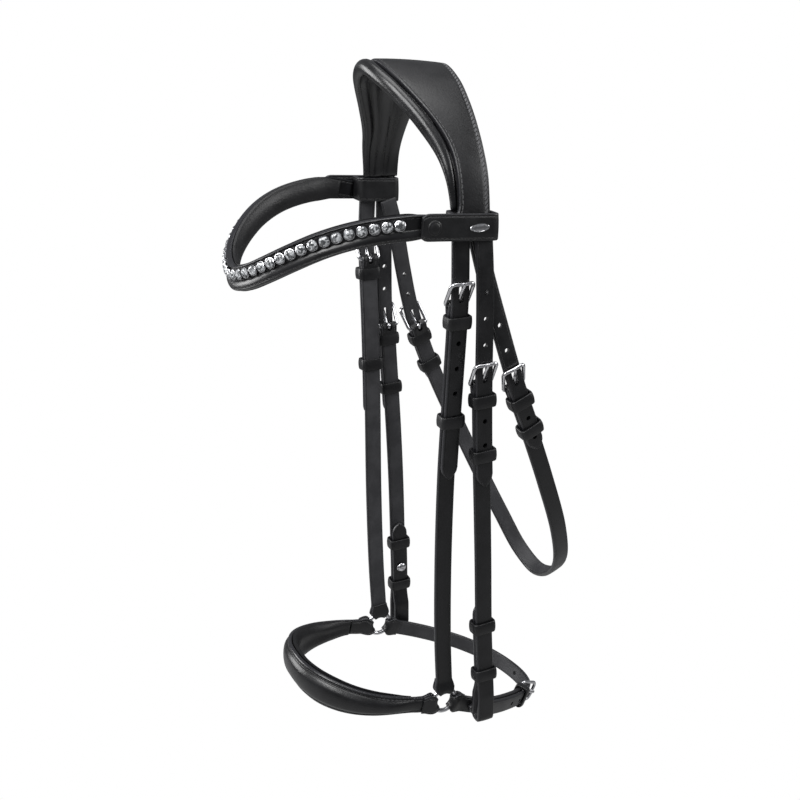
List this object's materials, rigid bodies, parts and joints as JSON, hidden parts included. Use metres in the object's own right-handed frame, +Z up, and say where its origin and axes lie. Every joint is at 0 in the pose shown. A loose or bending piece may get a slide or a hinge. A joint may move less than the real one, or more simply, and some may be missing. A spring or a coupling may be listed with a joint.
{
  "type": "snaffle bridle",
  "caption": "Padded leather snaffle bridle with crystal browband, drop noseband with chin strap, bit cheekpieces with folded bit loops, and a throatlash.",
  "frame": {"origin": "underside of the headpiece padding at the poll, midway between the two sides, where the bridle rests on the horse", "axes": "+Z up, -Y the way the horse faces, +X the horse's near (left) side"},
  "size_m": [0.1634, 0.2448, 0.4818],
  "materials": {
    "leather": "semi-gloss black bridle leather, fine grain, pale stitching",
    "padding": "soft satin black lining leather over foam",
    "polished_metal": "polished",
    "crystal": "clear faceted, silver-backed"
  },
  "bodies": {
    "headpiece": {"headpiece_leather": "leather", "headpiece_padding": "padding", "browband_leather": "leather", "browband_padding": "padding", "browband_crystals": "crystal", "near_browband_loop": "leather", "near_browband_snap": "leather", "far_browband_loop": "leather", "far_browband_snap": "leather", "near_browband_badge": "polished_metal"},
    "noseband_cheeks": {"near_noseband_billet": "leather", "near_noseband_cheek": "leather", "near_noseband_buckle": "polished_metal", "near_noseband_keeper": "leather", "far_noseband_billet": "leather", "far_noseband_cheek": "leather", "far_noseband_buckle": "polished_metal", "far_noseband_keeper": "leather"},
    "noseband_front": {"noseband_leather": "leather", "noseband_padding": "padding"},
    "chin_strap": {"chin_strap_long": "leather", "chin_strap_short": "leather", "chin_buckle": "polished_metal", "chin_keeper": "leather"},
    "near_bit_cheek_body": {"near_bit_billet": "leather", "near_bit_cheek": "leather", "near_bit_buckle": "polished_metal", "near_bit_upper_keeper_1": "leather", "near_bit_upper_keeper_2": "leather", "near_bit_lower_keeper_1": "leather", "near_bit_lower_keeper_2": "leather", "near_bit_stud": "polished_metal"},
    "far_bit_cheek_body": {"far_bit_billet": "leather", "far_bit_cheek": "leather", "far_bit_buckle": "polished_metal", "far_bit_upper_keeper_1": "leather", "far_bit_upper_keeper_2": "leather", "far_bit_lower_keeper_1": "leather", "far_bit_lower_keeper_2": "leather", "far_bit_stud": "polished_metal"},
    "throatlash_body": {"throatlash": "leather", "near_throat_billet": "leather", "near_throat_buckle": "polished_metal", "near_throat_keeper_1": "leather", "near_throat_keeper_2": "leather", "far_throat_billet": "leather", "far_throat_buckle": "polished_metal", "far_throat_keeper_1": "leather", "far_throat_keeper_2": "leather"},
    "near_noseband_tongue_body": {"near_noseband_tongue": "polished_metal"},
    "near_noseband_slider_body": {"near_noseband_slider": "leather"},
    "near_ring_body": {"near_ring": "polished_metal"},
    "far_noseband_tongue_body": {"far_noseband_tongue": "polished_metal"},
    "far_noseband_slider_body": {"far_noseband_slider": "leather"},
    "far_ring_body": {"far_ring": "polished_metal"},
    "chin_tongue_body": {"chin_tongue": "polished_metal"},
    "near_bit_tongue_body": {"near_bit_tongue": "polished_metal"},
    "far_bit_tongue_body": {"far_bit_tongue": "polished_metal"},
    "near_throat_tongue_body": {"near_throat_tongue": "polished_metal"},
    "far_throat_tongue_body": {"far_throat_tongue": "polished_metal"}
  },
  "joints": [
    {"name": "noseband_swing", "type": "hinge", "parent": "headpiece", "child": "noseband_cheeks", "pos_m": [0, 0.0068, -0.0886], "axis": [-1, 0, 0], "range_deg": [0, 10]},
    {"name": "near_bit_cheek_swing", "type": "hinge", "parent": "headpiece", "child": "near_bit_cheek_body", "pos_m": [0.0715, 0.0206, -0.0886], "axis": [0, -1, 0], "range_deg": [0, 30]},
    {"name": "far_bit_cheek_swing", "type": "hinge", "parent": "headpiece", "child": "far_bit_cheek_body", "pos_m": [-0.0715, 0.0206, -0.0886], "axis": [0, 1, 0], "range_deg": [0, 30]},
    {"name": "throatlash_swing", "type": "hinge", "parent": "headpiece", "child": "throatlash_body", "pos_m": [0, 0.0215, -0.0906], "axis": [1, 0, 0], "range_deg": [0, 15]},
    {"name": "near_ring_turn", "type": "hinge", "parent": "noseband_cheeks", "child": "near_ring_body", "pos_m": [0.055, 0.0075, -0.412], "axis": [1, 0, 0], "continuous": true},
    {"name": "far_ring_turn", "type": "hinge", "parent": "noseband_cheeks", "child": "far_ring_body", "pos_m": [-0.055, 0.0075, -0.412], "axis": [1, 0, 0], "continuous": true},
    {"name": "noseband_front_tilt", "type": "hinge", "parent": "noseband_cheeks", "child": "noseband_front", "pos_m": [0, 0.0075, -0.412], "axis": [-1, 0, 0], "range_deg": [-10, 10], "stiffness_Nm_per_rad": 2},
    {"name": "chin_strap_tilt", "type": "hinge", "parent": "noseband_cheeks", "child": "chin_strap", "pos_m": [0, 0.0075, -0.412], "axis": [1, 0, 0], "range_deg": [-8, 10], "stiffness_Nm_per_rad": 2},
    {"name": "near_noseband_tongue_lift", "type": "hinge", "parent": "noseband_cheeks", "child": "near_noseband_tongue_body", "pos_m": [0.06456, 0.00636, -0.12664], "axis": [-0.0002, 1, -0.004], "range_deg": [0, 20]},
    {"name": "near_noseband_keeper_slide", "type": "slide", "parent": "noseband_cheeks", "child": "near_noseband_slider_body", "axis": [0.0653, 0.0158, 0.9977], "range_m": [-0.012, 0.016]},
    {"name": "far_noseband_tongue_lift", "type": "hinge", "parent": "noseband_cheeks", "child": "far_noseband_tongue_body", "pos_m": [-0.06456, 0.00636, -0.12664], "axis": [-0.0002, -1, 0.004], "range_deg": [0, 20]},
    {"name": "far_noseband_keeper_slide", "type": "slide", "parent": "noseband_cheeks", "child": "far_noseband_slider_body", "axis": [-0.0653, 0.0158, 0.9977], "range_m": [-0.012, 0.016]},
    {"name": "chin_tongue_lift", "type": "hinge", "parent": "chin_strap", "child": "chin_tongue_body", "pos_m": [0.01317, 0.09386, -0.456], "axis": [0, -0.454, -0.891], "range_deg": [0, 20]},
    {"name": "near_bit_tongue_lift", "type": "hinge", "parent": "near_bit_cheek_body", "child": "near_bit_tongue_body", "pos_m": [0.0684, 0.02214, -0.17783], "axis": [0.0008, 0.9994, 0.0345], "range_deg": [0, 20]},
    {"name": "far_bit_tongue_lift", "type": "hinge", "parent": "far_bit_cheek_body", "child": "far_bit_tongue_body", "pos_m": [-0.0684, 0.02214, -0.17783], "axis": [0.0008, -0.9994, -0.0345], "range_deg": [0, 20]},
    {"name": "near_throat_tongue_lift", "type": "hinge", "parent": "throatlash_body", "child": "near_throat_tongue_body", "pos_m": [0.06947, 0.0455, -0.18281], "axis": [0.001, 0.9412, 0.3379], "range_deg": [0, 20]},
    {"name": "far_throat_tongue_lift", "type": "hinge", "parent": "throatlash_body", "child": "far_throat_tongue_body", "pos_m": [-0.07186, 0.04788, -0.18236], "axis": [0.0079, -0.946, -0.3241], "range_deg": [0, 20]}
  ]
}
